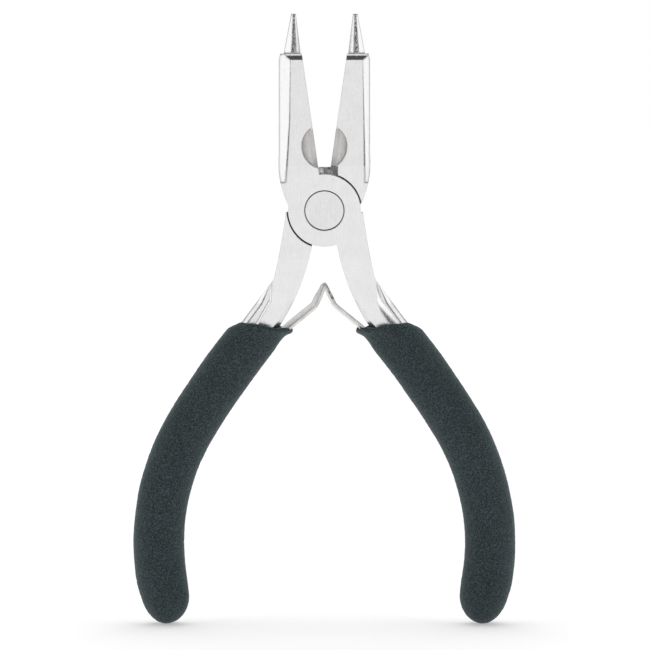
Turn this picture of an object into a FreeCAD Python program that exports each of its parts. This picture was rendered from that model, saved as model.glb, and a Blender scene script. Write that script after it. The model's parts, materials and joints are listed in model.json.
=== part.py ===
import FreeCAD, Part
import math
import os
import Sketcher

# Small combination pliers: conical needle nose tips, flat jaws, a side cutter beside the joint,
# a lap joint on one large flush rivet, two leaf springs and two foam grips.
#
# The pliers stand upright on their grips. X is to the right, -Y is the front, +Z is up, and the
# origin lies on the floor below the jaw pivot. Every sketch is drawn about the jaw pivot, and each
# body's Placement lifts it to the pivot's height. The front half owns the left jaw and the right
# handle. The rear half is the same forging turned half round the vertical axis.

# Driving dimensions, in millimetres and degrees.
SIZES = {
    # joint
    "pivot_height": 85.0,
    "joint_thickness": 8.0,
    "spare": 1.0,
    "lap_radius": 7.4,
    "lap_side_gap": 0.3,
    "lap_face_gap": 0.06,
    "crotch_web_low": 6.0,
    "crotch_web_height": 8.8,
    "crotch_web_reach": 1.9,
    "crotch_web_face": 3.3,
    "relief_height": 9.05,
    "relief_reach": 2.75,
    "pivot_radius": 4.1,
    "pivot_running_gap": 0.05,
    "pivot_chamfer": 0.2,
    # jaws
    "half_opening": 8.2,
    "jaw_reach": 9.3,
    "jaw_root_height": 11.5,
    "jaw_root_radius": 20.0,
    "jaw_heel_reach": 7.15,
    "jaw_heel_height": 0.5,
    "shoulder_height": 31.9,
    "shoulder_reach": 9.0,
    "shoulder_slope_height": 1.3,
    "shoulder_slope_drop": 0.4,
    "shoulder_slope_depth": 0.8,
    "jaw_taper_start": 9.0,
    "jaw_half_thickness": 2.6,
    # conical tips
    "cone_height": 31.0,
    "cone_length": 9.0,
    "cone_base_radius": 1.93,
    "cone_tip_radius": 0.5,
    "cone_base_reach": 6.6,
    "cone_tip_reach": 6.3,
    # bevels along the backs of the jaws, with a narrow worn edge where they meet the face
    "bevel_start": 5.6,
    "bevel_middle": 18.0,
    "bevel_top": 42.0,
    "bevel_angle": 35.0,
    "bevel_edge_width": 0.4,
    "bevel_edge_angle": 14.0,
    "front_bevel_start_reach": 7.69,
    "front_bevel_low_reach": 7.41,
    "front_bevel_middle_reach": 6.8,
    "front_bevel_top_reach": 6.27,
    "rear_bevel_start_reach": 8.02,
    "rear_bevel_low_reach": 7.97,
    "rear_bevel_middle_reach": 7.76,
    "rear_bevel_top_reach": 7.15,
    # flats on the cones that carry on from the bevels
    "flat_base_height": 31.9,
    "flat_top_height": 40.4,
    "flat_angle": 41.4,
    "front_flat_base_depth": 1.45,
    "front_flat_top_depth": 0.36,
    "rear_flat_base_depth": 1.62,
    "rear_flat_top_depth": 0.4,
    # side cutter
    "cutter_height": 13.1,
    "cutter_radius": 4.7,
    "cutter_half_web": 0.9,
    "cutter_wall_draft": 4.0,
    "cutter_half_edge": 0.15,
    "cutter_bevel_width": 1.1,
    "cutter_bevel_low": 9.3,
    "cutter_bevel_top": 16.4,
    # handle root
    "heel_reach": 7.9,
    "heel_drop": 0.4,
    "crotch_reach": 2.45,
    "crotch_drop": 6.9,
    "handle_inner_radius": 47.0,
    "handle_outer_radius": 110.0,
    "mouth_inner_reach": 9.1,
    "mouth_drop": 23.6,
    "flange_start_reach": 10.6,
    "flange_start_drop": 14.8,
    "flange_overlap": 0.5,
    "boss_corner_drop": 18.4,
    "boss_end_drop": 26.5,
    "front_boss_corner_reach": 11.8,
    "front_boss_end_reach": 18.0,
    "rear_boss_corner_reach": 10.8,
    "rear_boss_end_reach": 15.4,
    "boss_end_inner_reach": 11.5,
    "roll_off_start_reach": 10.5,
    "roll_off_start_flange_reach": 10.7,
    "roll_off_start_radius": 2.4,
    "roll_off_corner_reach": 10.7,
    "roll_off_corner_radius": 2.4,
    "roll_off_end_reach": 13.4,
    "roll_off_end_radius": 12.0,
    "flange_round_start": 15.3,
    "flange_round_full": 19.0,
    "flange_round_width": 1.5,
    "flange_round_depth": 1.2,
    "flange_round_radius": 2.0,
    "inner_bevel_drop": 18.2,
    "inner_bevel_start_reach": 6.3,
    "inner_bevel_end_reach": 12.3,
    "inner_bevel_edge_reach": 9.6,
    "inner_bevel_depth": 1.2,
    "handle_taper_start": 10.0,
    "handle_half_thickness": 3.0,
    "flange_fillet": 0.6,
    # path of the handles and grips
    "path_reach": 13.0,
    "path_drop": 24.3,
    "path_angle": 37.5,
    "path_middle_angle": 31.0,
    "path_end_angle": 9.5,
    "path_straight": 8.0,
    "path_upper_radius": 150.0,
    "path_lower_radius": 46.0,
    "path_tail": 3.864,
    # tang inside the grip
    "tang_width": 6.5,
    "tang_thickness": 4.4,
    "tang_offset": 0.75,
    "tang_end_angle": 6.0,
    # foam grip
    "grip_radius": 5.2,
    "grip_rise": 6.0,
    "rim_height_inside": 25.1,
    "rim_height_outside": 21.3,
    "rim_width": 25.0,
    # leaf spring
    "leaf_thickness": 0.6,
    "leaf_width": 4.0,
    "leaf_root_reach": 10.0,
    "leaf_root_drop": 25.9,
    "leaf_lower_angle": 51.0,
    "leaf_upper_angle": 26.0,
    "leaf_bend_radius": 2.5,
    "leaf_lower_length": 9.6,
    "leaf_upper_length": 4.5,
    "leaf_tongue_drop": 16.9,
    "leaf_tongue_gap": 0.2,
    "leaf_flex_gap": 0.08,
    "leaf_lead": 2.1,
    "leaf_foot_bend_radius": 2.0,
    "leaf_foot_length": 6.0,
    # rivet that holds the leaf spring on the tang
    "spring_rivet_radius": 1.1,
    "spring_rivet_length": 2.6,
    "spring_rivet_head_radius": 1.7,
    "spring_rivet_head_length": 0.5,
    "spring_rivet_head_gap": 0.02,
    "spring_room_side": 0.25,
    "spring_room_rise": 6.0,
    "spring_room_depth": 4.0,
    "spring_room_spare_width": 0.8,
    "spring_rivet_distance": 5.0,
}


class Size:
    """A dimension that is known both as a number and as a formula on the sheet's cells."""

    def __init__(self, value, text):
        self.value = float(value)
        self.text = text

    def __add__(self, other):
        other = as_size(other)
        return Size(self.value + other.value, "(%s + %s)" % (self.text, other.text))

    def __sub__(self, other):
        other = as_size(other)
        return Size(self.value - other.value, "(%s - %s)" % (self.text, other.text))

    def __mul__(self, other):
        other = as_size(other)
        return Size(self.value * other.value, "(%s * %s)" % (self.text, other.text))

    def __truediv__(self, other):
        other = as_size(other)
        return Size(self.value / other.value, "(%s / %s)" % (self.text, other.text))

    def __neg__(self):
        return Size(-self.value, "(0 - %s)" % self.text)


def as_size(number):
    if isinstance(number, Size):
        return number
    return Size(number, "(%.6g)" % number)


def size(alias):
    return Size(SIZES[alias], "Sizes." + alias)


def sine(angle):
    return Size(math.sin(math.radians(angle.value)), "sin(%s)" % angle.text)


def cosine(angle):
    return Size(math.cos(math.radians(angle.value)), "cos(%s)" % angle.text)


def tangent(angle):
    return sine(angle) / cosine(angle)


doc = FreeCAD.newDocument("pliers")
sheet = doc.addObject("Spreadsheet::Sheet", "Sizes")
for row, (alias, value) in enumerate(SIZES.items(), start=1):
    sheet.set("A%d" % row, alias.replace("_", " "))
    sheet.set("B%d" % row, str(value))
    sheet.setAlias("B%d" % row, alias)
doc.recompute()

FRONT_TURN = 0
REAR_TURN = 180


# ---- helpers for bodies, sketches and features ----

def new_body(name, turn):
    """A body drawn about the jaw pivot and turned about the vertical axis."""
    body = doc.addObject("PartDesign::Body", name)
    body.Label = name
    up = FreeCAD.Vector(0, 0, 1)
    body.Placement = FreeCAD.Placement(up * SIZES["pivot_height"], FreeCAD.Rotation(up, turn))
    body.setExpression("Placement.Base.z", size("pivot_height").text)
    return body


def origin_plane(body, role):
    for feature in body.Origin.OriginFeatures:
        if feature.Role == role:
            return feature
    raise ValueError(role)


def attach(feature, body, role, x=0, y=0, z=0, lean=0):
    """Fix a feature on an origin plane, moved by x, y, z and leant back about the plane's own Y."""
    place = [as_size(part) for part in (x, y, z)]
    lean = as_size(lean)
    feature.AttachmentSupport = (origin_plane(body, role), [""])
    feature.MapMode = "FlatFace"
    feature.AttachmentOffset = FreeCAD.Placement(
        FreeCAD.Vector(*[part.value for part in place]),
        FreeCAD.Rotation(FreeCAD.Vector(0, -1, 0), lean.value))
    for axis, part in zip("xyz", place):
        feature.setExpression("AttachmentOffset.Base." + axis, part.text)
    if lean.value:
        feature.setExpression("AttachmentOffset.Rotation.Angle", lean.text + " * 1 deg")


def new_sketch(body, role, name, **place):
    sketch = body.newObject("Sketcher::SketchObject", body.Name + "_" + name)
    attach(sketch, body, role, **place)
    return sketch


def bind(sketch, kind, targets, amount):
    """Add one dimension to a sketch and tie it to its formula."""
    index = sketch.addConstraint(Sketcher.Constraint(kind, *targets, amount.value))
    sketch.setExpression("Constraints[%d]" % index, amount.text)


def arc_between(start, end, radius):
    """The short arc from start to end. It bulges to the left of that way when radius is positive."""
    chord = end - start
    middle = (start + end) * 0.5
    left = FreeCAD.Vector(-chord.y, chord.x, 0).normalize()
    side = math.copysign(1, radius)
    depth = math.sqrt(radius ** 2 - (chord.Length / 2) ** 2)
    top = middle + left * side * (abs(radius) - depth)
    return Part.Arc(start, top, end)


def draw_chain(sketch, corners, closed=True):
    """Edges through the corners (x, y) or (x, y, radius of the arc that leaves the corner)."""
    points = [FreeCAD.Vector(as_size(c[0]).value, as_size(c[1]).value, 0) for c in corners]
    count = len(corners) if closed else len(corners) - 1
    ends = []
    for index in range(count):
        start = points[index]
        end = points[(index + 1) % len(points)]
        if len(corners[index]) == 3:
            radius = as_size(corners[index][2])
            edge = sketch.addGeometry(arc_between(start, end, radius.value))
            swapped = (sketch.getPoint(edge, 1) - start).Length > (sketch.getPoint(edge, 2) - start).Length
            ends.append((edge, 2, 1) if swapped else (edge, 1, 2))
            bind(sketch, "Radius", (edge,), radius if radius.value > 0 else -radius)
        else:
            edge = sketch.addGeometry(Part.LineSegment(start, end))
            ends.append((edge, 1, 2))
    for index in range(count if closed else count - 1):
        edge, first, last = ends[index]
        next_edge, next_first, next_last = ends[(index + 1) % count]
        sketch.addConstraint(Sketcher.Constraint("Coincident", edge, last, next_edge, next_first))
    for index, corner in enumerate(corners):
        edge, position = (ends[index][0], ends[index][1]) if index < count else (ends[-1][0], ends[-1][2])
        bind(sketch, "DistanceX", (-1, 1, edge, position), as_size(corner[0]))
        bind(sketch, "DistanceY", (-1, 1, edge, position), as_size(corner[1]))


def draw_circle(sketch, x, y, radius):
    x, y = as_size(x), as_size(y)
    centre = FreeCAD.Vector(x.value, y.value, 0)
    edge = sketch.addGeometry(Part.Circle(centre, FreeCAD.Vector(0, 0, 1), radius.value))
    bind(sketch, "DistanceX", (-1, 1, edge, 3), x)
    bind(sketch, "DistanceY", (-1, 1, edge, 3), y)
    bind(sketch, "Radius", (edge,), radius)


def extrude(body, kind, sketch, name, length, symmetric=False, backward=False, draft=None):
    """A Pad or Pocket. From the XZ plane a Pad goes to the front and a Pocket to the rear."""
    feature = body.newObject("PartDesign::" + kind, body.Name + "_" + name)
    feature.Profile = sketch
    feature.setExpression("Length", length.text)
    if symmetric:
        feature.SideType = "Symmetric"
    feature.Reversed = backward
    if draft is not None:
        feature.setExpression("TaperAngle", draft.text + " * 1 deg")
    return feature


def sized(feature, **amounts):
    for name, amount in amounts.items():
        feature.setExpression(name, amount.text)
    return feature


def dress(body, kind, name, edges, amount):
    """A Fillet or Chamfer on the edges, given as their names on the body's last feature."""
    base = body.Tip
    feature = body.newObject("PartDesign::" + kind, body.Name + "_" + name)
    feature.Base = (base, edges)
    return sized(feature, **{"Radius" if kind == "Fillet" else "Size": amount})


def edges_where(body, test):
    """Names of the edges of the body's last feature whose middle point passes the test."""
    doc.recompute()
    found = []
    for index, edge in enumerate(body.Tip.Shape.Edges, start=1):
        middle = edge.valueAt((edge.FirstParameter + edge.LastParameter) / 2)
        if test(edge, middle):
            found.append("Edge%d" % index)
    if not found:
        raise ValueError("no edge found on " + body.Name)
    return found


# ---- the path that handle, tang and grip share, on the right hand side ----

def path_normal():
    """The way out of the path at its straight top, across the handle."""
    angle = size("path_angle")
    return cosine(angle), sine(angle)


def path_corners(rise, end_angle, tail):
    """A straight, a gentle arc, a tighter arc down to end_angle and a straight tail."""
    angle, middle = size("path_angle"), size("path_middle_angle")
    upper, lower = size("path_upper_radius"), size("path_lower_radius")
    straight = size("path_straight")
    x, z = size("path_reach"), -size("path_drop")
    corners = [(x - sine(angle) * rise, z + cosine(angle) * rise)]
    x, z = x + sine(angle) * straight, z - cosine(angle) * straight
    corners.append((x, z, upper))
    x, z = x + upper * (cosine(middle) - cosine(angle)), z - upper * (sine(angle) - sine(middle))
    corners.append((x, z, lower))
    x, z = x + lower * (cosine(end_angle) - cosine(middle)), z - lower * (sine(middle) - sine(end_angle))
    corners.append((x, z))
    if tail is not None:
        x, z = x + sine(end_angle) * tail, z - cosine(end_angle) * tail
        corners.append((x, z))
    return corners


def point_beside_path(along, across):
    """A point of the path's straight top, given along it from its start and outward across it."""
    angle = size("path_angle")
    out_x, out_z = path_normal()
    x = size("path_reach") + sine(angle) * along + out_x * across
    z = -size("path_drop") - cosine(angle) * along + out_z * across
    return x, z


# ---- one half of the pliers ----

def add_jaw(body):
    """The flat jaw, from the pivot up to the shoulder under the cone."""
    slope = tangent(size("half_opening"))
    shoulder, reach = size("shoulder_height"), size("jaw_reach")
    sketch = new_sketch(body, "XZ_Plane", "jaw_outline")
    draw_chain(sketch, [
        (0, 0),
        (-(slope * shoulder), shoulder),
        (-size("shoulder_reach"), shoulder),
        (-reach, shoulder - size("shoulder_slope_height")),
        (-reach, size("jaw_root_height"), -size("jaw_root_radius")),
        (-size("jaw_heel_reach"), size("jaw_heel_height")),
    ])
    extrude(body, "Pad", sketch, "jaw", size("joint_thickness"), symmetric=True)


def add_lap(body):
    """The round front lap, half as thick as the joint less half the gap between the laps."""
    sketch = new_sketch(body, "XZ_Plane", "lap_outline", z=size("lap_face_gap") / 2)
    draw_circle(sketch, 0, 0, size("lap_radius"))
    extrude(body, "Pad", sketch, "lap", (size("joint_thickness") - size("lap_face_gap")) / 2)


def add_handle_root(body):
    """The thick root of the handle: its front and rear faces end in different outlines."""
    start_reach, start_drop = size("flange_start_reach"), size("flange_start_drop")
    inner = [
        (size("boss_end_inner_reach"), -size("boss_end_drop")),
        (size("mouth_inner_reach"), -size("mouth_drop"), size("handle_inner_radius")),
        (size("crotch_reach"), -size("crotch_drop")),
        (0, 0),
        (size("heel_reach"), -size("heel_drop"), -size("handle_outer_radius")),
        (start_reach, -start_drop),
    ]
    for name, backward in (("front_boss", False), ("rear_boss", True)):
        corner = (size(name + "_corner_reach"), -size("boss_corner_drop"))
        end = (size(name + "_end_reach"), -size("boss_end_drop"))
        sketch = new_sketch(body, "XZ_Plane", name + "_outline")
        draw_chain(sketch, inner + [corner, end])
        extrude(body, "Pad", sketch, name, size("joint_thickness") / 2, backward=backward)


def add_tang(body):
    """The thin flange that leaves the handle root and runs on inside the grip."""
    half_width, offset = size("tang_width") / 2, size("tang_offset")
    overlap = size("flange_overlap")
    sketch = new_sketch(body, "XZ_Plane", "flange_outline")
    draw_chain(sketch, [
        (size("flange_start_reach") - overlap * 3, -size("flange_start_drop") + overlap),
        (size("flange_start_reach") - overlap / 5, -size("flange_start_drop") + overlap),
        point_beside_path(0, offset + half_width),
        point_beside_path(overlap, offset + half_width),
        point_beside_path(overlap, offset - half_width),
        (size("mouth_inner_reach"), -size("mouth_drop")),
    ])
    extrude(body, "Pad", sketch, "flange", size("tang_thickness"), symmetric=True)
    path = new_sketch(body, "XZ_Plane", "tang_path")
    draw_chain(path, path_corners(as_size(0), size("tang_end_angle"), None), closed=False)
    section = new_sketch(body, "XY_Plane", "tang_section", x=size("path_reach"), z=-size("path_drop"),
                         lean=size("path_angle"))
    half = size("tang_thickness") / 2
    draw_chain(section, [
        (offset - half_width, -half),
        (offset + half_width, -half),
        (offset + half_width, half),
        (offset - half_width, half),
    ])
    pipe = body.newObject("PartDesign::AdditivePipe", body.Name + "_tang")
    pipe.Profile = section
    pipe.Spine = (path, [])


def taper_faces(body):
    """Thin the jaw towards its tip and the handle towards the grip, alike at front and rear."""
    half, top = size("joint_thickness") / 2, size("shoulder_height")
    jaw_half, slope_depth = size("jaw_half_thickness"), size("shoulder_slope_depth")
    spare = size("spare")
    shoulder = top - size("shoulder_slope_height")
    handle_half = size("handle_half_thickness")
    for side in (-1, 1):
        jaw = new_sketch(body, "YZ_Plane", "jaw_taper_%s" % ("front" if side < 0 else "rear"))
        draw_chain(jaw, [
            (half * side, size("jaw_taper_start")),
            (jaw_half * side, shoulder),
            ((jaw_half - slope_depth) * side, top - size("shoulder_slope_drop")),
            ((jaw_half - slope_depth) * side, top + spare),
            ((half + spare) * side, top + spare),
            ((half + spare) * side, size("jaw_taper_start")),
        ])
        extrude(body, "Pocket", jaw, "thin_jaw_%s" % ("front" if side < 0 else "rear"),
                size("jaw_reach") * 2.5, symmetric=True)
        handle = new_sketch(body, "YZ_Plane", "handle_taper_%s" % ("front" if side < 0 else "rear"))
        draw_chain(handle, [
            (half * side, -size("handle_taper_start")),
            (handle_half * side, -size("mouth_drop")),
            (handle_half * side, -size("boss_end_drop") - spare),
            ((half + spare) * side, -size("boss_end_drop") - spare),
            ((half + spare) * side, -size("handle_taper_start")),
        ])
        extrude(body, "Pocket", handle, "thin_handle_%s" % ("front" if side < 0 else "rear"),
                size("boss_end_drop") * 2, symmetric=True)


def round_flange_corners(body):
    """A hollow round where the rear face of the thick root steps down to the flange."""
    flange_face = SIZES["tang_thickness"] / 2
    start_reach, start_drop = SIZES["flange_start_reach"], SIZES["flange_start_drop"]
    outer_slope = 0.75

    def on_step(edge, middle):
        on_face = abs(middle.y - flange_face) < 0.01
        drop = -middle.z - start_drop
        inside = start_reach - 1 < middle.x < start_reach + outer_slope * drop - 1
        return on_face and inside and 1 < drop < SIZES["boss_end_drop"] - start_drop - 0.5

    dress(body, "Fillet", "flange_round", edges_where(body, on_step), size("flange_fillet"))


def add_cone(body):
    """The conical tip, which leans in a little towards its point."""
    sections = []
    for name, height, reach, radius in (
            ("cone_base", size("cone_height"), size("cone_base_reach"), size("cone_base_radius")),
            ("cone_point", size("cone_height") + size("cone_length"), size("cone_tip_reach"),
             size("cone_tip_radius"))):
        sketch = new_sketch(body, "XY_Plane", name, z=height)
        draw_circle(sketch, -reach, 0, radius)
        sections.append(sketch)
    cone = body.newObject("PartDesign::AdditiveLoft", body.Name + "_cone")
    cone.Profile = sections[0]
    cone.Sections = [sections[1]]


def cut_between(body, name, sections):
    """Cut straight from one level outline to the next. Each section is a height and its corners."""
    sketches = []
    for index, (height, corners) in enumerate(sections, start=1):
        sketch = new_sketch(body, "XY_Plane", "%s_section_%d" % (name, index), z=height)
        draw_chain(sketch, corners)
        sketches.append(sketch)
    cut = body.newObject("PartDesign::SubtractiveLoft", body.Name + "_" + name)
    cut.Profile = sketches[0]
    cut.Sections = sketches[1:]
    cut.Ruled = True


def cut_back_bevels(body):
    """A long bevel on each back edge of the jaw. It starts at the joint and grows to the tip."""
    half, back, spare = size("joint_thickness") / 2, size("jaw_reach"), size("spare")
    flat_top = size("jaw_taper_start")
    taper = (half - size("jaw_half_thickness")) / (size("shoulder_height") - flat_top)
    edge = size("bevel_edge_width")
    edge_drop, slope = tangent(size("bevel_edge_angle")) * edge, tangent(size("bevel_angle"))
    places = (
        ("start", size("bevel_start"), half),
        ("low", flat_top, half),
        ("middle", size("bevel_middle"), half - taper * (size("bevel_middle") - flat_top)),
        ("top", size("bevel_top"), half - taper * (size("bevel_top") - flat_top)))
    for name, side in (("front_bevel", -1), ("rear_bevel", 1)):
        sections = []
        for place, height, face in places:
            reach = size("%s_%s_reach" % (name, place))
            far_depth = face - edge_drop - slope * (back - reach - edge)
            sections.append((height, [
                (-reach, face * side),
                (-reach - edge, (face - edge_drop) * side),
                (-back, far_depth * side),
                (-back - spare * 3, far_depth * side),
                (-back - spare * 3, (half + spare) * side),
                (-reach, (half + spare) * side),
            ]))
        cut_between(body, name, sections)


def cut_cone_flats(body):
    """A flat on each outer side of the cone, in line with the bevels of the jaw."""
    angle, spare = size("flat_angle"), size("spare")
    run = size("cone_base_radius")
    fall = (size("cone_base_reach") - size("cone_tip_reach")) / size("cone_length")
    for name, side in (("front_flat", -1), ("rear_flat", 1)):
        sections = []
        for place in ("base", "top"):
            height = size("flat_%s_height" % place)
            centre = size("cone_base_reach") - fall * (height - size("cone_height"))
            depth = size("%s_%s_depth" % (name, place))
            middle_reach, middle_depth = centre + sine(angle) * depth, cosine(angle) * depth
            near = (-(middle_reach - cosine(angle) * run), (middle_depth + sine(angle) * run) * side)
            far = (-(middle_reach + cosine(angle) * run), (middle_depth - sine(angle) * run) * side)
            sections.append((height, [near, far, (far[0], near[1] + spare * side),
                                      (near[0], near[1] + spare * side)]))
        cut_between(body, name, sections)


def cut_handle_slopes(body):
    """The front face rolls off to the flange, and both faces slope off at the handle's inner edge."""
    half, spare, end = size("joint_thickness") / 2, size("spare"), size("boss_end_drop")
    start, handle_half = size("handle_taper_start"), size("handle_half_thickness")
    taper = (half - handle_half) / (size("mouth_drop") - start)
    flange = size("tang_thickness") / 2
    cut_between(body, "roll_off", [(-drop, [
        (face_reach, -(half - taper * (drop - start)), -radius),
        (flange_reach, -flange),
        (flange_reach + spare, -flange),
        (flange_reach + spare, -half - spare),
        (face_reach, -half - spare),
    ]) for drop, face_reach, flange_reach, radius in (
        (size("flange_start_drop"), size("roll_off_start_reach"),
         size("roll_off_start_flange_reach"), size("roll_off_start_radius")),
        (size("boss_corner_drop"), size("roll_off_corner_reach"),
         size("front_boss_corner_reach"), size("roll_off_corner_radius")),
        (end, size("roll_off_end_reach"), size("front_boss_end_reach"),
         size("roll_off_end_radius")))])
    low_reach = size("inner_bevel_edge_reach")
    top_reach = size("inner_bevel_start_reach")
    top = size("inner_bevel_drop")
    for name, side in (("front_inner_bevel", -1), ("rear_inner_bevel", 1)):
        cut_between(body, name, [(-drop, [
            (reach_low, depth * side),
            (reach_face, (half - taper * (drop - start)) * side),
            (reach_face, (half + spare) * side),
            (reach_low - spare * 3, (half + spare) * side),
            (reach_low - spare * 3, depth * side),
        ]) for drop, reach_low, reach_face, depth in (
            (top, top_reach, top_reach + spare / 20, half - taper * (top - start) - spare / 20),
            (end, low_reach, size("inner_bevel_end_reach"), size("inner_bevel_depth")))])


def round_flange_edge(body):
    """The flange's outer edge is rounded off at front and rear, down into the grip."""
    flange, spare = size("tang_thickness") / 2, size("spare")
    start_x, start_drop = size("flange_start_reach"), size("flange_start_drop") - size("flange_overlap")
    end_x, end_z = point_beside_path(0, size("tang_offset") + size("tang_width") / 2)
    slope = (end_x - start_x) / (-end_z - start_drop)
    for name, side in (("front_edge_round", -1), ("rear_edge_round", 1)):
        sections = []
        for drop, share in ((size("flange_round_start"), 0.15), (size("flange_round_full"), 1.0),
                            (size("boss_end_drop"), 1.0)):
            edge = start_x + slope * (drop - start_drop)
            width, depth = size("flange_round_width") * share, size("flange_round_depth") * share
            sections.append((-drop, [
                (edge - width, flange * side, size("flange_round_radius") * (share * side)),
                (edge, (flange - depth) * side),
                (edge + spare, (flange - depth) * side),
                (edge + spare, (flange + spare / 10) * side),
                (edge - width, (flange + spare / 10) * side),
            ]))
        cut_between(body, name, sections)


def cut_cutter(body):
    """Round recesses milled from both faces leave a thin web with a sharp edge: the side cutter."""
    half, web = size("joint_thickness") / 2, size("cutter_half_web")
    wall = tangent(size("cutter_wall_draft")) * (half - web)
    for name, side in (("front", -1), ("rear", 1)):
        sketch = new_sketch(body, "XZ_Plane", name + "_recess_outline", z=-web * side)
        draw_circle(sketch, 0, size("cutter_height"), size("cutter_radius") - wall)
        extrude(body, "Pocket", sketch, name + "_recess", half, backward=(side < 0),
                draft=size("cutter_wall_draft"))
    slope, edge = tangent(size("half_opening")), size("cutter_half_edge")
    width, spare = size("cutter_bevel_width"), size("spare")
    for name, side in (("front_edge", -1), ("rear_edge", 1)):
        cut_between(body, name, [(height, [
            (spare - slope * height, edge * side),
            (-(slope * height), edge * side),
            (-(slope * height) - width, web * side),
            (spare - slope * height, web * side),
        ]) for height in (size("cutter_bevel_low"), size("cutter_bevel_top"))])


def cut_socket(body):
    """Room for the other half's lap, and for its crotch web at the foot of the jaw."""
    depth, gap = size("joint_thickness") / 2 + size("spare"), size("lap_face_gap") / 2
    socket = new_sketch(body, "XZ_Plane", "socket_outline", z=gap)
    draw_circle(socket, 0, 0, size("lap_radius") + size("lap_side_gap"))
    extrude(body, "Pocket", socket, "socket", depth)
    relief = new_sketch(body, "XZ_Plane", "relief_outline", z=gap)
    reach, low, high = size("relief_reach"), size("crotch_web_low"), size("relief_height")
    draw_chain(relief, [(-reach, low), (size("spare"), low), (size("spare"), high), (-reach, high)])
    extrude(body, "Pocket", relief, "relief", depth)


def add_crotch_web(body):
    """A low web that closes the gap between the jaw and the lap, up to the middle of the tool."""
    gap = size("lap_face_gap") / 2
    sketch = new_sketch(body, "XZ_Plane", "crotch_web_outline", z=gap)
    reach, low, high = size("crotch_web_reach"), size("crotch_web_low"), size("crotch_web_height")
    draw_chain(sketch, [(-reach, low), (0, low), (0, high), (-reach, high)])
    extrude(body, "Pad", sketch, "crotch_web", size("crotch_web_face") - gap)


def cut_bore(body, running_gap):
    bore = new_sketch(body, "XZ_Plane", "bore_outline")
    draw_circle(bore, 0, 0, size("pivot_radius") + running_gap)
    extrude(body, "Pocket", bore, "bore", size("joint_thickness") + size("spare") * 2, symmetric=True)


def cut_spring_rivet_hole(body):
    x, z = point_beside_path(size("spring_rivet_distance"), size("tang_offset") - size("tang_width") / 2)
    hole = body.newObject("PartDesign::SubtractiveCylinder", body.Name + "_spring_rivet_hole")
    attach(hole, body, "XY_Plane", x=x, z=z)
    lay_across_path(hole)
    sized(hole, Radius=size("spring_rivet_radius"), Height=size("spring_rivet_length"))


def lay_across_path(feature):
    """Turn a cylinder from the vertical to point outward across the handle."""
    base = feature.AttachmentOffset.Base
    out_x, out_z = path_normal()
    outward = FreeCAD.Vector(out_x.value, 0, out_z.value)
    feature.AttachmentOffset = FreeCAD.Placement(base, FreeCAD.Rotation(FreeCAD.Vector(0, 0, 1), outward))


def make_half(name, turn, running_gap):
    body = new_body(name, turn)
    add_jaw(body)
    add_handle_root(body)
    add_tang(body)
    taper_faces(body)
    round_flange_corners(body)
    cut_handle_slopes(body)
    round_flange_edge(body)
    cut_socket(body)
    add_lap(body)
    add_crotch_web(body)
    cut_bore(body, running_gap)
    add_cone(body)
    cut_cone_flats(body)
    cut_back_bevels(body)
    cut_cutter(body)
    cut_spring_rivet_hole(body)
    return body


# ---- rivets, springs and grips ----

def make_pivot_rivet():
    body = new_body("pivot_rivet", FRONT_TURN)
    sketch = new_sketch(body, "XZ_Plane", "outline")
    draw_circle(sketch, 0, 0, size("pivot_radius"))
    extrude(body, "Pad", sketch, "shank", size("joint_thickness"), symmetric=True)
    rims = edges_where(body, lambda edge, middle: abs(middle.y) > SIZES["joint_thickness"] / 2 - 0.01)
    dress(body, "Chamfer", "rims", rims, size("pivot_chamfer"))
    return body


def add_leaf_pipe(body, name, corners, x, z, lean):
    path = new_sketch(body, "XZ_Plane", name + "_path")
    draw_chain(path, corners, closed=False)
    section = new_sketch(body, "XY_Plane", name + "_section", x=x, z=z, lean=lean)
    half_thickness, half_width = size("leaf_thickness") / 2, size("leaf_width") / 2
    draw_chain(section, [
        (-half_thickness, -half_width),
        (half_thickness, -half_width),
        (half_thickness, half_width),
        (-half_thickness, half_width),
    ])
    pipe = body.newObject("PartDesign::AdditivePipe", body.Name + "_" + name)
    pipe.Profile = section
    pipe.Spine = (path, [])


def make_spring_blade(name, turn):
    """The free part of a leaf spring, from its root up to the narrow tongue at its tip."""
    body = new_body(name, turn)
    lower, upper = size("leaf_lower_angle"), size("leaf_upper_angle")
    bend = size("leaf_bend_radius")
    gap, straight = size("leaf_flex_gap"), size("leaf_lower_length")
    x = size("leaf_root_reach") - sine(lower) * gap
    z = cosine(lower) * gap - size("leaf_root_drop")
    corners = [(x, z)]
    x, z = x - sine(lower) * (straight - gap), z + cosine(lower) * (straight - gap)
    corners.append((x, z, -bend))
    x, z = x - bend * (cosine(upper) - cosine(lower)), z + bend * (sine(lower) - sine(upper))
    corners.append((x, z))
    x = x - sine(upper) * size("leaf_upper_length")
    z = z + cosine(upper) * size("leaf_upper_length")
    corners.append((x, z))
    add_leaf_pipe(body, "leaf", corners, corners[0][0], corners[0][1], lower)
    cut = new_sketch(body, "YZ_Plane", "tongue_outline")
    draw_chain(cut, [
        (size("leaf_tongue_gap") / 2, -size("leaf_tongue_drop")),
        (-size("leaf_width"), -size("leaf_tongue_drop")),
        (-size("leaf_width"), -size("leaf_tongue_drop") + 5),
        (size("leaf_tongue_gap") / 2, -size("leaf_tongue_drop") + 5),
    ])
    extrude(body, "Pocket", cut, "tongue", size("leaf_root_reach") * 2, symmetric=True)
    return body


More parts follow.
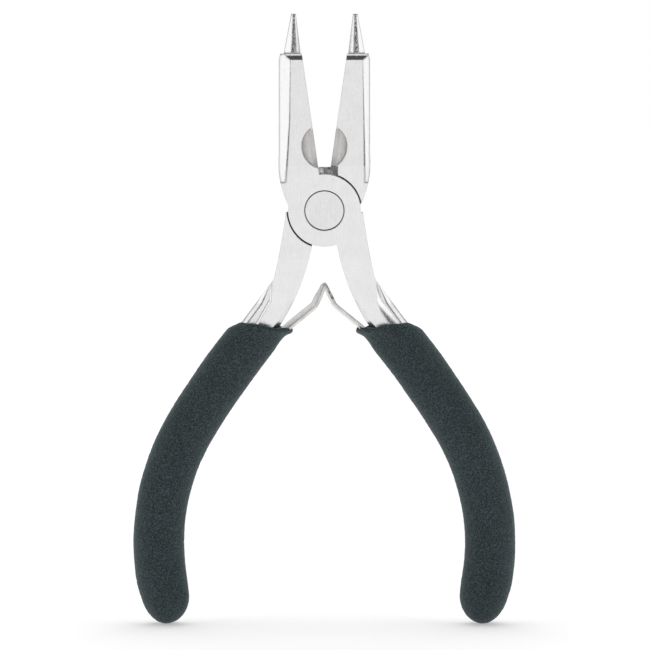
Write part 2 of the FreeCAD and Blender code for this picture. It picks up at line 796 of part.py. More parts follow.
def make_spring_foot(name, turn):
    """The fixed end of a leaf spring, which lies on the inner edge of the tang."""
    body = new_body(name, turn)
    lower, along = size("leaf_lower_angle"), size("path_angle")
    bend = size("leaf_foot_bend_radius")
    x, z = size("leaf_root_reach"), -size("leaf_root_drop")
    corners = [(x, z)]
    x, z = x + sine(lower) * size("leaf_lead"), z - cosine(lower) * size("leaf_lead")
    corners.append((x, z, bend))
    x, z = x + bend * (cosine(along) - cosine(lower)), z - bend * (sine(lower) - sine(along))
    corners.append((x, z))
    x, z = x + sine(along) * size("leaf_foot_length"), z - cosine(along) * size("leaf_foot_length")
    corners.append((x, z))
    add_leaf_pipe(body, "foot", corners, corners[0][0], corners[0][1], lower)
    x, z = point_beside_path(size("spring_rivet_distance"), size("tang_offset") - size("tang_width") / 2)
    out_x, out_z = path_normal()
    back = size("leaf_thickness") * 2
    hole = body.newObject("PartDesign::SubtractiveCylinder", body.Name + "_hole")
    attach(hole, body, "XY_Plane", x=x - out_x * back, z=z - out_z * back)
    lay_across_path(hole)
    sized(hole, Radius=size("spring_rivet_radius"), Height=back * 2)
    return body


def make_spring_rivet(name, turn):
    body = new_body(name, turn)
    start = size("tang_offset") - size("tang_width") / 2 - size("leaf_thickness")
    head = size("spring_rivet_head_length")
    for part, across, radius, length in (
            ("shank", start - head, size("spring_rivet_radius"),
             size("spring_rivet_length") + size("leaf_thickness") + head),
            ("head", start - size("spring_rivet_head_gap") - head, size("spring_rivet_head_radius"),
             head)):
        x, z = point_beside_path(size("spring_rivet_distance"), across)
        cylinder = body.newObject("PartDesign::AdditiveCylinder", body.Name + "_" + part)
        attach(cylinder, body, "XY_Plane", x=x, z=z)
        lay_across_path(cylinder)
        sized(cylinder, Radius=radius, Height=length)
    return body


def make_grip_blank(name, turn):
    """A foam tube along the handle path, closed by a round end and cut off across its mouth."""
    body = new_body(name + "_blank", turn)
    rise, radius = size("grip_rise"), size("grip_radius")
    end_angle = -size("path_end_angle")
    corners = path_corners(rise, end_angle, size("path_tail"))
    path = new_sketch(body, "XZ_Plane", "path")
    draw_chain(path, corners, closed=False)
    section = new_sketch(body, "XY_Plane", "section", x=corners[0][0], z=corners[0][1],
                         lean=size("path_angle"))
    draw_circle(section, 0, 0, radius)
    pipe = body.newObject("PartDesign::AdditivePipe", body.Name + "_tube")
    pipe.Profile = section
    pipe.Spine = (path, [])
    end = body.newObject("PartDesign::AdditiveSphere", body.Name + "_end")
    attach(end, body, "XY_Plane", x=corners[-1][0], z=corners[-1][1])
    sized(end, Radius=radius)
    mouth = new_sketch(body, "XZ_Plane", "mouth_outline")
    draw_chain(mouth, [
        (0, -size("rim_height_inside")),
        (size("rim_width"), -size("rim_height_outside")),
        (size("rim_width"), 0),
        (0, 0),
    ])
    extrude(body, "Pocket", mouth, "mouth", radius * 3, symmetric=True)
    return body


def make_spring_room(name, turn):
    """The space beside the tang that the leaf spring needs inside the mouth of the grip."""
    body = new_body(name + "_spring_room", turn)
    lower = size("leaf_lower_angle")
    x, z = size("leaf_root_reach"), -size("leaf_root_drop")
    room = size("leaf_thickness") / 2 + size("spring_room_side")
    across_x, across_z = cosine(lower) * room, sine(lower) * room
    lead, rise = size("leaf_lead"), size("spring_room_rise")
    tang_edge = size("tang_offset") - size("tang_width") / 2
    sketch = new_sketch(body, "XZ_Plane", "outline")
    draw_chain(sketch, [
        (x - across_x + sine(lower) * lead, z - across_z - cosine(lower) * lead),
        (x - across_x - sine(lower) * rise, z - across_z + cosine(lower) * rise),
        point_beside_path(-rise, tang_edge),
        point_beside_path(size("spring_room_depth"), tang_edge),
    ])
    extrude(body, "Pad", sketch, "space", size("leaf_width") + size("spring_room_spare_width"), symmetric=True)
    return body


def make_grip(name, turn, inside):
    """The foam grip: the blank less everything that it is pulled over."""
    blank = make_grip_blank(name, turn)
    room = make_spring_room(name, turn)
    core = doc.addObject("Part::MultiFuse", name + "_core")
    core.Shapes = inside + [room]
    grip = doc.addObject("Part::Cut", name)
    grip.Label = name
    grip.Base = blank
    grip.Tool = core
    return grip


nodes = []
for side, half_name, turn, running_gap in (
        ("right", "front_half", FRONT_TURN, as_size(0)),
        ("left", "rear_half", REAR_TURN, size("pivot_running_gap"))):
    half = make_half(half_name, turn, running_gap)
    foot = make_spring_foot(side + "_spring_foot", turn)
    rivet = make_spring_rivet(side + "_spring_rivet", turn)
    blade = make_spring_blade(side + "_spring_blade", turn)
    grip = make_grip(side + "_grip", turn, [half, foot, rivet])
    nodes += [half, foot, rivet, blade, grip]
nodes.append(make_pivot_rivet())
doc.recompute()

for item in doc.Objects:
    if "Invalid" in item.State or "Error" in item.State:
        raise RuntimeError("%s failed: %s" % (item.Name, item.State))
os.makedirs("parts", exist_ok=True)
for node in nodes:
    if node.Shape.isNull() or not node.Shape.isValid():
        raise RuntimeError(node.Label + " has no valid shape")
    if len(node.Shape.Solids) != 1:
        raise RuntimeError("%s has %d solids" % (node.Label, len(node.Shape.Solids)))
    box = node.Shape.BoundBox
    print("%-20s %9.2f mm3  x %6.2f %6.2f  y %5.2f %5.2f  z %6.2f %6.2f" % (
        node.Label, node.Shape.Volume, box.XMin, box.XMax, box.YMin, box.YMax, box.ZMin, box.ZMax))
    node.Shape.exportStep("parts/%s.step" % node.Label)
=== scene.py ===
import json
import math
import bpy
import bmesh
import numpy as np
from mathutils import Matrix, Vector, noise


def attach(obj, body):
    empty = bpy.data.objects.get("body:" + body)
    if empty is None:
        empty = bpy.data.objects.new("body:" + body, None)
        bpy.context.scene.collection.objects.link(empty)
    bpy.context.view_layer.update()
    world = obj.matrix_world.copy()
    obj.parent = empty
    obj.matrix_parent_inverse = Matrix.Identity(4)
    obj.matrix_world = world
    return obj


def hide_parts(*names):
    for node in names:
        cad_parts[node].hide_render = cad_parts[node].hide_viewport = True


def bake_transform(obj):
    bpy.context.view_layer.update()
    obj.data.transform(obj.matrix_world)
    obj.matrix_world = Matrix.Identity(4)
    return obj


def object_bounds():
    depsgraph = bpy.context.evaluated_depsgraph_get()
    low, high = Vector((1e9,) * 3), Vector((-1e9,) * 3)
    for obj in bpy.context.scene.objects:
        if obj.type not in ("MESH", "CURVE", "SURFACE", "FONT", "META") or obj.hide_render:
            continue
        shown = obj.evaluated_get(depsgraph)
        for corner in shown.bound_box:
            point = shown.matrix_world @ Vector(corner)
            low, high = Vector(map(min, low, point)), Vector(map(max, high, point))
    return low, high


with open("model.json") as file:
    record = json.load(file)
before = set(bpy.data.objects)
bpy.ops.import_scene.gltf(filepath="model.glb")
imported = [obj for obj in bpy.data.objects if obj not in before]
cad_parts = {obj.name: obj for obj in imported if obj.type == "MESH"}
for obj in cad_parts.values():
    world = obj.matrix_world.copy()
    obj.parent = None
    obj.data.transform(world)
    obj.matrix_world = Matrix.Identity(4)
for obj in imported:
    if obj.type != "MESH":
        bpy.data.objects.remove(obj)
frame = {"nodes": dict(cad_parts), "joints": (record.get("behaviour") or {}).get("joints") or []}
cad_low, cad_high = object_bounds()
MM = 0.001

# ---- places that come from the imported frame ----
joints = {joint["name"]: joint for joint in frame["joints"]}
PIVOT = Vector(joints["jaw_pivot"]["pos_m"])
FLEX = {side: Vector(joints[side + "_spring_flex"]["pos_m"]) for side in ("left", "right")}
BODY = {"left": "rear_half", "right": "front_half"}
SIGN = {"left": -1, "right": 1}
FLOOR_Z = cad_low.z

# ---- sizes of the leaf springs, in millimetres and degrees ----
LEAF_THICKNESS = 0.6
LEAF_WIDTH = 4.0
LEAF_FOOT_LENGTH = 7.0
LEAF_FOOT_ANGLE = 37.5
LEAF_FOOT_BEND = 2.0
LEAF_ROOT_LENGTH = 2.1
LEAF_LOWER_LENGTH = 9.6
LEAF_LOWER_ANGLE = 51.0
LEAF_KNEE_BEND = 2.5
LEAF_UPPER_LENGTH = 4.5
LEAF_UPPER_ANGLE = 26.0
LEAF_TWIST = {"left": 15.0, "right": 8.0}
LEAF_TONGUE_GAP = 0.1
LEAF_END_ROUNDING = 0.8


# ---- camera: level with the tool, a little above it, through a long lens ----

def make_camera():
    view_width = 133.1 * MM
    aim = Vector((0.12, 0, 61.45)) * MM
    distance, elevation = 0.85, math.radians(3.0)
    data = bpy.data.cameras.new("camera")
    data.sensor_width = 36
    data.lens = data.sensor_width * distance / view_width
    data.clip_start, data.clip_end = 0.05, 50
    camera = bpy.data.objects.new("camera", data)
    back = Vector((0, -math.cos(elevation), math.sin(elevation)))
    camera.location = aim + back * distance
    camera.rotation_mode = "QUATERNION"
    camera.rotation_quaternion = (-back).to_track_quat("-Z", "Y")
    bpy.context.scene.collection.objects.link(camera)
    bpy.context.scene.camera = camera


# ---- small node helpers ----

class Nodes:
    """The node tree of a material or of the world, with short calls for the nodes they share."""

    def __init__(self, name="", world=None):
        if world is None:
            self.material = bpy.data.materials.new(name)
            self.material.use_nodes = True
        self.tree = world.node_tree if world else self.material.node_tree
        self.shader = self.tree.nodes["Background" if world else "Principled BSDF"]
        coordinates = self.add("ShaderNodeTexCoord").outputs
        self.place = coordinates["Generated" if world else "Object"]
        self.direction = coordinates["Normal"]

    def add(self, kind, **values):
        node = self.tree.nodes.new(kind)
        for name, value in values.items():
            setattr(node, name, value)
        return node

    def join(self, source, target):
        self.tree.links.new(source, target)

    def put(self, socket, value):
        if isinstance(value, bpy.types.NodeSocket):
            self.join(value, socket)
        else:
            socket.default_value = value

    def math(self, operation, first, second=0.0):
        node = self.add("ShaderNodeMath", operation=operation)
        self.put(node.inputs[0], first)
        self.put(node.inputs[1], second)
        return node.outputs[0]

    def product(self, *factors):
        result = factors[0]
        for factor in factors[1:]:
            result = self.math("MULTIPLY", result, factor)
        return result

    def distance(self, first, second):
        """How far a point with these two coordinates is from their zero."""
        squares = [self.math("POWER", value, 2.0) for value in (first, second)]
        return self.math("SQRT", self.math("ADD", *squares))

    def size(self, value):
        return self.math("ABSOLUTE", value)

    def stretched(self, scale, turn=(0, 0, 0)):
        node = self.add("ShaderNodeMapping")
        self.join(self.place, node.inputs["Vector"])
        node.inputs["Scale"].default_value = scale
        node.inputs["Rotation"].default_value = turn
        return node.outputs["Vector"]

    def noise(self, vector, scale, detail=3.0, roughness=0.5, distortion=0.0):
        node = self.add("ShaderNodeTexNoise")
        self.join(vector, node.inputs["Vector"])
        node.inputs["Scale"].default_value = scale
        node.inputs["Detail"].default_value = detail
        node.inputs["Roughness"].default_value = roughness
        node.inputs["Distortion"].default_value = distortion
        return node.outputs["Fac"]

    def cells(self, vector, scale):
        node = self.add("ShaderNodeTexVoronoi")
        self.join(vector, node.inputs["Vector"])
        node.inputs["Scale"].default_value = scale
        return node.outputs["Distance"]

    def ranged(self, value, low, high, to_low=0.0, to_high=1.0, smooth=False):
        """The value carried from the range low to high into to_low to to_high, and held at its ends."""
        node = self.add("ShaderNodeMapRange", interpolation_type="SMOOTHSTEP" if smooth else "LINEAR")
        for name, amount in (("Value", value), ("From Min", low), ("From Max", high),
                             ("To Min", to_low), ("To Max", to_high)):
            self.put(node.inputs[name], amount)
        return node.outputs["Result"]

    def mixed(self, factor, first, second):
        node = self.add("ShaderNodeMix", data_type="RGBA")
        self.put(node.inputs["Factor"], factor)
        self.put(node.inputs[6], first)
        self.put(node.inputs[7], second)
        return node.outputs[2]

    def bump(self, height, strength, distance, normal=None):
        node = self.add("ShaderNodeBump")
        self.put(node.inputs["Strength"], strength)
        node.inputs["Distance"].default_value = distance
        self.join(height, node.inputs["Height"])
        if normal is not None:
            self.join(normal, node.inputs["Normal"])
        return node.outputs["Normal"]

    def rounded(self, radius):
        """The surface's direction with its sharp edges rounded off."""
        node = self.add("ShaderNodeBevel", samples=6)
        node.inputs["Radius"].default_value = radius
        return node.outputs["Normal"]

    def edge(self, radius):
        """0 on a flat face, more where a sharp edge is within the radius."""
        node = self.add("ShaderNodeVectorMath", operation="DOT_PRODUCT")
        self.join(self.rounded(radius), node.inputs[0])
        self.join(self.add("ShaderNodeNewGeometry").outputs["True Normal"], node.inputs[1])
        return self.math("SUBTRACT", 1.0, node.outputs["Value"])

    def xyz(self, vector):
        node = self.add("ShaderNodeSeparateXYZ")
        self.join(vector, node.inputs[0])
        return node.outputs

    def crevice(self, distance):
        """0 in the open and 1 deep in a narrow gap."""
        node = self.add("ShaderNodeAmbientOcclusion", samples=8)
        node.inputs["Distance"].default_value = distance
        return self.math("SUBTRACT", 1.0, node.outputs["AO"])


def grey(level, warmth=0.0):
    """A grey that leans to red and away from blue by its warmth."""
    return (level * (1 + warmth), level, level * (1 - warmth), 1.0)


# ---- steel ----

def cone_mask(n, height, sideways):
    """1 on the pitted stripe down the front of the round cones."""
    above = n.ranged(height, 31.6 * MM, 32.3 * MM, smooth=True)
    right_edge = n.ranged(sideways, 0.54, 0.64, 1.0, 0.0, smooth=True)
    left_edge = n.ranged(sideways, -0.30, -0.20, smooth=True)
    return n.product(above, right_edge, left_edge)


def bevel_mask(n, height, sideways):
    """1 on the bevels along the backs of the jaws, which face half to the side."""
    more_than_front = n.ranged(n.size(sideways), 0.40, 0.50, smooth=True)
    less_than_side = n.ranged(n.size(sideways), 0.80, 0.90, 1.0, 0.0, smooth=True)
    return n.product(more_than_front, less_than_side, n.ranged(height, 4.0 * MM, 5.0 * MM))


def recess_mask(n, x, y, height):
    """1 inside the round cutter recess, below the front and back faces of the jaws."""
    centre_height = 13.1 * MM
    radius = n.distance(x, n.math("SUBTRACT", height, centre_height))
    inside = n.ranged(radius, 4.66 * MM, 4.72 * MM, 1.0, 0.0)
    return n.product(inside, n.ranged(n.size(y), 3.25 * MM, 3.35 * MM, 1.0, 0.0))


def crotch_mask(n, x, y, height):
    """1 on the rough patch in the crotch, between the joint's boss and the cutter recess."""
    off_boss = n.ranged(n.distance(x, height), 7.40 * MM, 7.46 * MM)
    narrow = n.ranged(n.size(x), 2.70 * MM, 2.80 * MM, 1.0, 0.0)
    above = n.ranged(height, 5.9 * MM, 6.1 * MM)
    below = n.ranged(height, 9.0 * MM, 9.1 * MM, 1.0, 0.0)
    return n.product(off_boss, narrow, above, below, n.ranged(n.size(y), 3.45 * MM, 3.55 * MM, 1.0, 0.0))


def half_material():
    """Ground and polished steel: fine lines along the tool, dull pitted cones, dull cutter recesses. Painted
    shade darkens its crevices and the recesses towards their walls, and a painted dark reflection runs along
    the bevels' rounded edges.
    """
    n = Nodes("polished_steel")
    x, y, z = n.xyz(n.place)
    height = n.math("SUBTRACT", z, PIVOT.z)
    sideways = n.xyz(n.direction)[0]
    lines = n.noise(n.stretched((5200, 5200, 260)), 1.0, detail=2.0)
    cloud = n.noise(n.place, 420.0, detail=2.0)
    colour = n.mixed(n.ranged(cloud, 0.3, 0.7), grey(0.765), grey(0.80))

    cone = cone_mask(n, height, sideways)
    pits = n.noise(n.stretched((2600, 2600, 2000)), 1.0, detail=4.0, roughness=0.7, distortion=0.6)
    colour = n.mixed(cone, colour, n.mixed(n.ranged(pits, 0.42, 0.60), grey(0.16), grey(0.66)))

    bevel = bevel_mask(n, height, sideways)
    # the bevels get a slightly darker grey; painted reflection: their rounded edges are painted near-black,
    # standing in for the dark light-tent corners mirrored in a rounded edge
    painted_edge_reflection = n.ranged(n.edge(0.90 * MM), 0.02, 0.07, smooth=True)
    colour = n.mixed(bevel, colour, grey(0.74))
    colour = n.mixed(n.product(bevel, painted_edge_reflection, 0.85), colour, grey(0.13))

    recess = recess_mask(n, x, y, height)
    grain = n.noise(n.place, 4200.0, detail=2.0, roughness=0.6)
    # painted shade: the recess is coloured darker towards its steep wall, and its grain mixes a lit and a
    # shaded tone
    painted_wall_shade = n.ranged(n.size(x), 2.2 * MM, 4.4 * MM)
    lit = n.mixed(painted_wall_shade, grey(0.95), grey(0.64, warmth=0.03))
    shaded = n.mixed(painted_wall_shade, grey(0.80, warmth=0.01), grey(0.50, warmth=0.04))
    colour = n.mixed(recess, colour, n.mixed(n.ranged(grain, 0.35, 0.65), shaded, lit))

    crotch = crotch_mask(n, x, y, height)
    scale = n.noise(n.place, 1500.0, detail=3.0, roughness=0.7, distortion=1.0)
    colour = n.mixed(crotch, colour, n.mixed(n.ranged(scale, 0.40, 0.52), grey(0.16), grey(0.86)))

    hollow = n.math("MAXIMUM", recess, crotch)
    # painted shade: near-black in narrow gaps and crevices, weaker in the cutter recesses and the crotch
    # patch
    painted_crevice_shade = n.ranged(n.crevice(1.2 * MM), 0.50, 0.80, smooth=True)
    painted_crevice_shade = n.product(painted_crevice_shade, n.ranged(hollow, 0.0, 1.0, 1.0, 0.35))
    n.put(n.shader.inputs["Base Color"], n.mixed(painted_crevice_shade, colour, grey(0.02)))
    dull = n.math("MAXIMUM", cone, hollow)
    shine = n.ranged(lines, 0.3, 0.7, 0.20, 0.30)
    n.put(n.shader.inputs["Roughness"], n.math("ADD", shine, n.product(dull, 0.25)))
    n.shader.inputs["Metallic"].default_value = 1.0

    normal = n.bump(lines, 0.12, 0.02 * MM, n.rounded(0.25 * MM))
    normal = n.bump(pits, n.product(cone, 0.9), 0.25 * MM, normal)
    normal = n.bump(scale, n.product(crotch, 0.9), 0.30 * MM, normal)
    normal = n.bump(grain, n.product(recess, 0.5), 0.06 * MM, normal)
    n.join(normal, n.shader.inputs["Normal"])
    return n.material


def rivet_material():
    """Flush ground rivet: straight grinding lines across its face, and a dark ring of painted shade in the
    groove where it meets its bore.
    """
    n = Nodes("rivet_steel")
    lines = n.noise(n.stretched((4000, 4000, 300), (0, 0.5, 0)), 1.0, detail=2.0)
    cloud = n.noise(n.place, 600.0, detail=2.0)
    colour = n.mixed(n.ranged(cloud, 0.3, 0.7), grey(0.74), grey(0.78))
    x, y, z = n.xyz(n.place)
    radius = n.distance(x, n.math("SUBTRACT", z, PIVOT.z))
    # painted shade: a dark ring in the groove between the rivet and its bore
    painted_groove_shade = n.product(n.ranged(radius, 3.84 * MM, 3.95 * MM), n.ranged(radius, 4.30 * MM, 4.50 * MM, 1.0, 0.0))
    n.put(n.shader.inputs["Base Color"], n.mixed(painted_groove_shade, colour, grey(0.03)))
    n.put(n.shader.inputs["Roughness"], n.ranged(lines, 0.3, 0.7, 0.22, 0.34))
    n.shader.inputs["Metallic"].default_value = 1.0
    n.join(n.bump(lines, 0.15, 0.02 * MM, n.rounded(0.12 * MM)), n.shader.inputs["Normal"])
    return n.material


def spring_material():
    """Rolled spring strip: warm grey, with lengthwise rolling marks."""
    n = Nodes("spring_steel")
    marks = n.noise(n.stretched((900, 5200, 900)), 1.0, detail=3.0)
    cloud = n.noise(n.place, 700.0, detail=3.0)
    colour = n.mixed(n.ranged(cloud, 0.3, 0.7), (0.58, 0.565, 0.56, 1), (0.76, 0.75, 0.73, 1))
    n.put(n.shader.inputs["Base Color"], colour)
    n.put(n.shader.inputs["Roughness"], n.ranged(marks, 0.3, 0.7, 0.26, 0.40))
    n.shader.inputs["Metallic"].default_value = 1.0
    n.join(n.bump(marks, 0.2, 0.03 * MM), n.shader.inputs["Normal"])
    return n.material


def foam_material():
    """Closed-cell foam: dark slate, finely speckled with open pores, with a soft sheen at its edges."""
    n = Nodes("grip_foam")
    pores = n.cells(n.place, 3900.0)
    fine = n.noise(n.place, 4300.0, detail=2.0, roughness=0.7)
    cloud = n.noise(n.place, 160.0, detail=3.0)
    speck = n.math("ADD", n.math("MULTIPLY", pores, 0.55), n.math("MULTIPLY", fine, 0.65))
    tone = n.ranged(speck, 0.42, 0.78)
    dark = n.mixed(cloud, (0.004, 0.008, 0.009, 1), (0.007, 0.012, 0.013, 1))
    light = n.mixed(cloud, (0.046, 0.065, 0.070, 1), (0.066, 0.090, 0.096, 1))
    n.put(n.shader.inputs["Base Color"], n.mixed(tone, dark, light))
    n.put(n.shader.inputs["Roughness"], 0.85)
    n.shader.inputs["Specular IOR Level"].default_value = 0.25
    n.shader.inputs["Sheen Weight"].default_value = 0.22
    n.shader.inputs["Sheen Roughness"].default_value = 0.45
    n.shader.inputs["Sheen Tint"].default_value = (0.70, 0.85, 0.88, 1)
    n.join(n.bump(speck, 0.7, 0.12 * MM), n.shader.inputs["Normal"])
    return n.material


# ---- CAD nodes that stay: the halves and the rivets ----

def dress_cad_node(name, material):
    node = frame["nodes"][name]
    node.data.materials.clear()
    node.data.materials.append(material)


# ---- foam grips ----

def smooth_step(value, low, high):
    """0 below low, 1 above high and an even rise between them, for a number or an array."""
    share = np.clip((value - low) / (high - low), 0, 1)
    return share * share * (3 - 2 * share)


def grip_line():
    """Centre line of the right grip about the pivot, in millimetres, as (x, z, angle) points."""
    x, z, angle = 13.0, -24.3, 37.5
    step = 0.25
    points = []
    for length, turn in ((8.0, 0.0), (17.0, 6.5), (32.5, 40.5), (3.9, 0.0)):
        for _ in range(round(length / step)):
            points.append((x, z, angle))
            x += math.sin(math.radians(angle)) * step
            z -= math.cos(math.radians(angle)) * step
            angle -= turn / length * step
    return points


def shape_foam(places):
    """Move points of a right-hand grip, in millimetres about the pivot, to the cut foam's shape."""
    x, y, z = places.T
    line = np.array(grip_line())
    nearest = np.concatenate([
        np.argmin((part[:, :1] - line[:, 0]) ** 2 + (part[:, 2:] - line[:, 1]) ** 2, axis=1)
        for part in np.array_split(places, 40)])
    angle = np.radians(line[nearest, 2])
    out_x, out_z = np.cos(angle), np.sin(angle)
    across = (x - line[nearest, 0]) * out_x + (z - line[nearest, 1]) * out_z
    radius = np.maximum(np.hypot(across, y), 0.5)
    outer, inner = np.maximum(0, across / radius), np.maximum(0, -across / radius)

    # the mouth: a slanting cut, pinched on the outside, with a thin lip that stands out on the inside
    rim_height = x * 3.8 / 25.0 - 25.1
    below_rim = rim_height - z
    near_rim = 1 - smooth_step(below_rim, 0.0, 2.6)
    pinch = 0.16 * outer ** 2 * near_rim ** 2
    lip = (0.10 * inner ** 3 + 0.03) * np.exp(-((below_rim - 0.6) / 0.9) ** 2)
    neck = 0.035 * inner ** 2 * np.exp(-((below_rim - 3.2) / 1.4) ** 2)
    around = np.arctan2(y, across)
    wave = 0.25 * np.sin(3 * around + 0.6) + 0.18 * np.sin(5 * around)
    drop = near_rim * (0.55 * outer ** 2 + wave)

    # the closed end draws in, most on its outer side
    end = 0.10 * smooth_step(-z, 75.0, 85.0) + 0.09 * outer * smooth_step(-z, 76.5, 84.5)
    scale = 1 - pinch + lip - neck - end
    shift = 0.34 * (1 - smooth_step(-z, 28.0, 62.0))
    return np.column_stack([x + (scale - 1) * across * out_x + shift, y * scale,
                            z + (scale - 1) * across * out_z - drop])


def foam_skin(place):
    """How far the foam's skin stands out at a place, in millimetres: fine grain and slow swells."""
    return noise.noise(Vector(place) * 1400.0) * 0.05 + noise.noise(Vector(place) * 150.0) * 0.10


def make_grip(side, material):
    """The grip's CAD solid, remeshed finely, shaped like cut and stretched foam."""
    source = frame["nodes"][side + "_grip"]
    grip = bpy.data.objects.new(side + "_foam_grip", source.data.copy())
    bpy.context.scene.collection.objects.link(grip)
    remesh = grip.modifiers.new("remesh", "REMESH")
    remesh.mode = "VOXEL"
    remesh.voxel_size = 0.3 * MM
    smooth = grip.modifiers.new("smooth", "SMOOTH")
    smooth.iterations = 5
    apply_modifiers(grip)
    count = len(grip.data.vertices)
    places = np.empty(count * 3)
    grip.data.vertices.foreach_get("co", places)
    outward = np.empty(count * 3)
    grip.data.vertices.foreach_get("normal", outward)
    places, outward = places.reshape(-1, 3), outward.reshape(-1, 3)
    skin = np.array([foam_skin(place) for place in places])
    flip = np.array([SIGN[side], 1, 1])
    moved = shape_foam((places - np.array(PIVOT)) / MM * flip) * flip + outward * skin[:, None]
    moved = np.array(PIVOT) + moved * MM
    moved[:, 2] = np.maximum(moved[:, 2], FLOOR_Z)
    grip.data.vertices.foreach_set("co", moved.ravel())
    grip.data.update()
    for polygon in grip.data.polygons:
        polygon.use_smooth = True
    grip.data.materials.clear()
    grip.data.materials.append(material)
    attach(grip, BODY[side])
    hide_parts(side + "_grip")


def apply_modifiers(piece):
    """Put the piece's modified shape into its own mesh."""
    graph = bpy.context.evaluated_depsgraph_get()
    shaped = bpy.data.meshes.new_from_object(piece.evaluated_get(graph))
    piece.modifiers.clear()
    old = piece.data
    piece.data = shaped
    bpy.data.meshes.remove(old)


# ---- leaf springs ----

def turned(angle, side):
    """The way that leans towards the middle of the tool by an angle, seen on one side."""
    return Vector((-SIGN[side] * math.sin(angle), 0, math.cos(angle)))


def leaf_line(side):
    """Centre line of a leaf from its foot on the tang to its tip, as (point, way) pairs."""
    foot, lower, upper = (math.radians(a) for a in (LEAF_FOOT_ANGLE, LEAF_LOWER_ANGLE, LEAF_UPPER_ANGLE))
    runs = ((foot, foot, LEAF_FOOT_LENGTH), (foot, lower, LEAF_FOOT_BEND * (lower - foot)),
            (lower, lower, LEAF_ROOT_LENGTH + LEAF_LOWER_LENGTH),
            (lower, upper, LEAF_KNEE_BEND * (lower - upper)), (upper, upper, LEAF_UPPER_LENGTH))
    x, z, path = 0.0, 0.0, []
    for start, end, length in runs:
        straight = start == end
        steps = round(length / 0.5) if straight else 8
        for step in range(steps):
            angle = start + (end - start) * (step + 0.5) / steps
            path.append((x, z, angle))
            x -= math.sin(angle) * length / steps
            z += math.cos(angle) * length / steps
    path.append((x, z, upper))
    end_x, end_z = leaf_tip()
    move_x, move_z = end_x - x, end_z - z
    return [(Vector((SIGN[side] * (px + move_x) * MM, 0, PIVOT.z + (pz + move_z) * MM)), turned(angle, side))
            for px, pz, angle in path]


def leaf_tip():
    """The right leaf's tip about the pivot, in millimetres, worked out from its root."""
    lower, upper = math.radians(LEAF_LOWER_ANGLE), math.radians(LEAF_UPPER_ANGLE)
    x, z = FLEX["right"].x / MM, (FLEX["right"].z - PIVOT.z) / MM
    x -= math.sin(lower) * LEAF_LOWER_LENGTH + LEAF_KNEE_BEND * (math.cos(upper) - math.cos(lower))
    z += math.cos(lower) * LEAF_LOWER_LENGTH + LEAF_KNEE_BEND * (math.sin(lower) - math.sin(upper))
    return x - math.sin(upper) * LEAF_UPPER_LENGTH, z + math.cos(upper) * LEAF_UPPER_LENGTH


def leaf_ring(side, centre, way, left_over):
    """The strip's outline at one place. It twists on its way up, and its tongue is half as wide."""
    tongue = 1 - smooth_step(left_over, 1.9 * MM, 3.6 * MM)
    full_twist = math.radians(LEAF_TWIST[side])
    twist = full_twist * (smooth_step(centre.z - FLEX[side].z, -1.5 * MM, 2.5 * MM) + 0.7 * tongue)
    across = Vector((0, 1, 0))
    flat = way.cross(across).normalized()
    across, flat = (across * math.cos(twist) + flat * math.sin(twist),
                    flat * math.cos(twist) - across * math.sin(twist))
    low, high = -LEAF_WIDTH / 2 * MM, LEAF_WIDTH / 2 * MM
    if side == "left":
        high += (-LEAF_TONGUE_GAP * MM - high) * tongue
    else:
        low += (LEAF_TONGUE_GAP * MM - low) * tongue
    end = min(1.0, left_over / (LEAF_END_ROUNDING * MM))
    half = (high - low) / 2 * math.sqrt(max(0.02, 1 - (1 - end) ** 2))
    middle = centre + Vector((0, (low + high) / 2, 0))
    return [middle + across * v + flat * u for u, v in rounded_section(LEAF_THICKNESS * MM, -half, half)]


def make_leaf(side, material):
    """One strip of spring steel: a rounded flat section swept along the leaf's line."""
    line = leaf_line(side)
    mesh = bmesh.new()
    rings = []
    for centre, way in line:
        left_over = (line[-1][0] - centre).length
        rings.append([mesh.verts.new(point) for point in leaf_ring(side, centre, way, left_over)])
    for first, second in zip(rings, rings[1:]):
        size = len(first)
        for index in range(size):
            after = (index + 1) % size
            mesh.faces.new((first[index], first[after], second[after], second[index]))
    mesh.faces.new(reversed(rings[0]))
    mesh.faces.new(rings[-1])
    bmesh.ops.recalc_face_normals(mesh, faces=mesh.faces)
    data = bpy.data.meshes.new(side + "_leaf_spring")
    mesh.to_mesh(data)
    mesh.free()
    for polygon in data.polygons:
        polygon.use_smooth = True
    leaf = bpy.data.objects.new(side + "_leaf_spring", data)
    bpy.context.scene.collection.objects.link(leaf)
    data.materials.append(material)
    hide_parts(side + "_spring_foot", side + "_spring_blade")
    way = turned(math.radians(LEAF_LOWER_ANGLE), side)
    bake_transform(leaf)


def rounded_section(thickness, low, high, corner=0.12 * MM, steps=3):
    """A flat strip's section as (through, across) pairs with small round corners."""
    half = thickness / 2
    points = []
    for u, v, turn in ((half, high, 0), (-half, high, 90), (-half, low, 180), (half, low, 270)):
        cu = u - math.copysign(corner, u)
        cv = v - corner if v == high else v + corner
        for step in range(steps + 1):
            angle = math.radians(turn + 90 * step / steps)
            points.append((cu + corner * math.cos(angle), cv + corner * math.sin(angle)))
    return points


# ---- floor and light ----

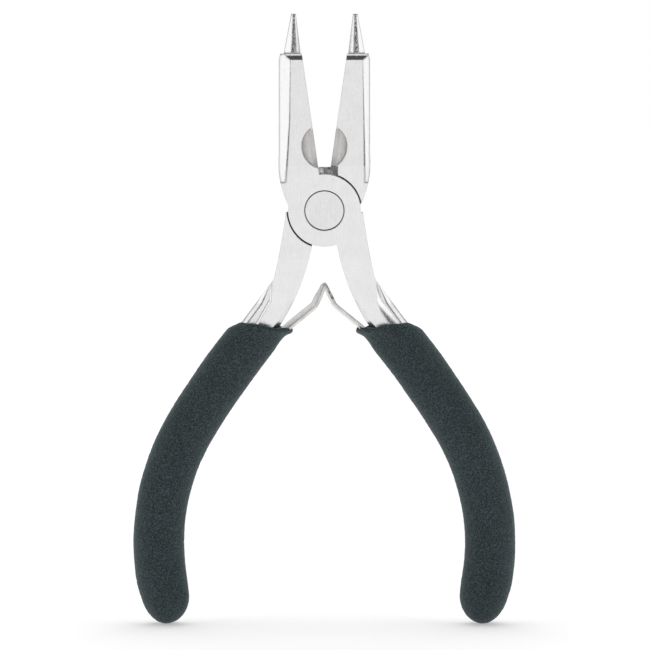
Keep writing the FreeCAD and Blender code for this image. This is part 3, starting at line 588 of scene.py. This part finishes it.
def make_floor():
    bpy.ops.mesh.primitive_circle_add(vertices=128, radius=12, fill_type="NGON", location=(0, 0, FLOOR_Z))
    floor = bpy.context.object
    floor.name = "floor"
    n = Nodes("floor")
    n.shader.inputs["Base Color"].default_value = (0.80, 0.80, 0.80, 1)
    n.shader.inputs["Roughness"].default_value = 1.0
    n.shader.inputs["Specular IOR Level"].default_value = 0.0
    n.shader.inputs["Emission Color"].default_value = (1, 1, 1, 1)
    n.shader.inputs["Emission Strength"].default_value = 0.33
    floor.data.materials.append(n.material)


def make_light():
    """A light tent: brightest at both sides, dark in the front corners, dim behind and overhead."""
    scene = bpy.context.scene
    scene.view_settings.view_transform = "Standard"
    world = bpy.data.worlds.new("studio")
    scene.world = world
    world.use_nodes = True
    n = Nodes(world=world)
    x, y, z = n.xyz(n.place)
    sideways = n.math("DIVIDE", n.size(x), n.math("MAXIMUM", n.distance(x, y), 0.001))
    front = n.ranged(y, -0.05, 0.05, 1.0, 0.0, smooth=True)
    corner = n.product(n.ranged(sideways, 0.28, 0.42, smooth=True),
                       n.ranged(sideways, 0.62, 0.76, 1.0, 0.0, smooth=True), front)
    sides = n.ranged(sideways, 0.72, 0.86, 1.0, 1.32, smooth=True)
    rear = n.product(n.ranged(y, 0.2, 0.5, smooth=True), n.ranged(sideways, 0.55, 0.75, smooth=True))
    overhead = n.ranged(z, 0.45, 0.80, 1.0, 0.10, smooth=True)
    light = n.math("SUBTRACT", sides, n.product(corner, 0.97))
    light = n.product(light, n.ranged(rear, 0.0, 1.0, 1.0, 0.35), overhead)
    n.shader.inputs["Color"].default_value = (1, 1, 1, 1)
    n.put(n.shader.inputs["Strength"], light)

    # a wide soft lamp above and behind the tool lights the floor and gives its soft contact shadow
    data = bpy.data.lights.new("overhead", "SUN")
    data.energy = 1.55
    data.angle = math.radians(60)
    lamp = bpy.data.objects.new("overhead", data)
    lamp.rotation_euler = (math.radians(-18), 0, 0)
    lamp.visible_glossy = False
    scene.collection.objects.link(lamp)


make_camera()
make_floor()
make_light()
half_steel, rivet_steel = half_material(), rivet_material()
for name in ("front_half", "rear_half"):
    dress_cad_node(name, half_steel)
for name in ("pivot_rivet", "left_spring_rivet", "right_spring_rivet"):
    dress_cad_node(name, rivet_steel)
foam, spring_steel = foam_material(), spring_material()
for side in ("left", "right"):
    make_grip(side, foam)
    make_leaf(side, spring_steel)
